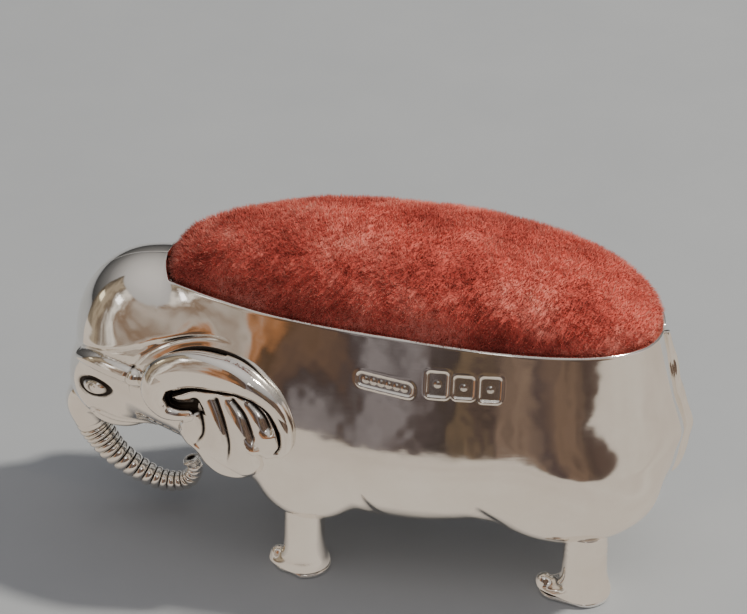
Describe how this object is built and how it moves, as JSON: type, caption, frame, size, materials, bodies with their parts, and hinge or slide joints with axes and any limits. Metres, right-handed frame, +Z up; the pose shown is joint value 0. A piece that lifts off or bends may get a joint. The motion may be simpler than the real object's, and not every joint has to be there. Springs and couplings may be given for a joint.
{
  "type": "elephant pin cushion",
  "caption": "Hollow silver elephant with applied ears, curled trunk and short legs, holding a domed velvet pin cushion in its open back.",
  "frame": {"origin": "Middle of the footprint of the whole part, on the surface that the four soles stand on.", "axes": "X runs along the elephant with the head towards -X, -Y is the elephant's left side, Z is up."},
  "size_m": [0.0503, 0.0236, 0.0282],
  "materials": {
    "silver": "polished silver, oxidised dark in the recesses",
    "velvet": "short worn red velvet pile",
    "cotton": "unbleached plain-weave cotton",
    "sawdust": "fine packed sawdust",
    "card": "plain grey-brown board",
    "thread": "twisted linen thread",
    "packing": "loose cotton wadding"
  },
  "bodies": {
    "root": {"body_shell_left": "silver", "body_shell_right": "silver", "ear_left": "silver", "ear_right": "silver", "trunk": "silver", "tail": "silver", "leg_front_left": "silver", "leg_front_right": "silver", "leg_rear_left": "silver", "leg_rear_right": "silver", "sole_front_left": "silver", "sole_front_right": "silver", "sole_rear_left": "silver", "sole_rear_right": "silver", "velvet_cover": "velvet", "cotton_bag": "cotton", "stuffing": "sawdust", "backing_card": "card", "gather_thread": "thread", "belly_packing": "packing"}
  },
  "joints": []
}
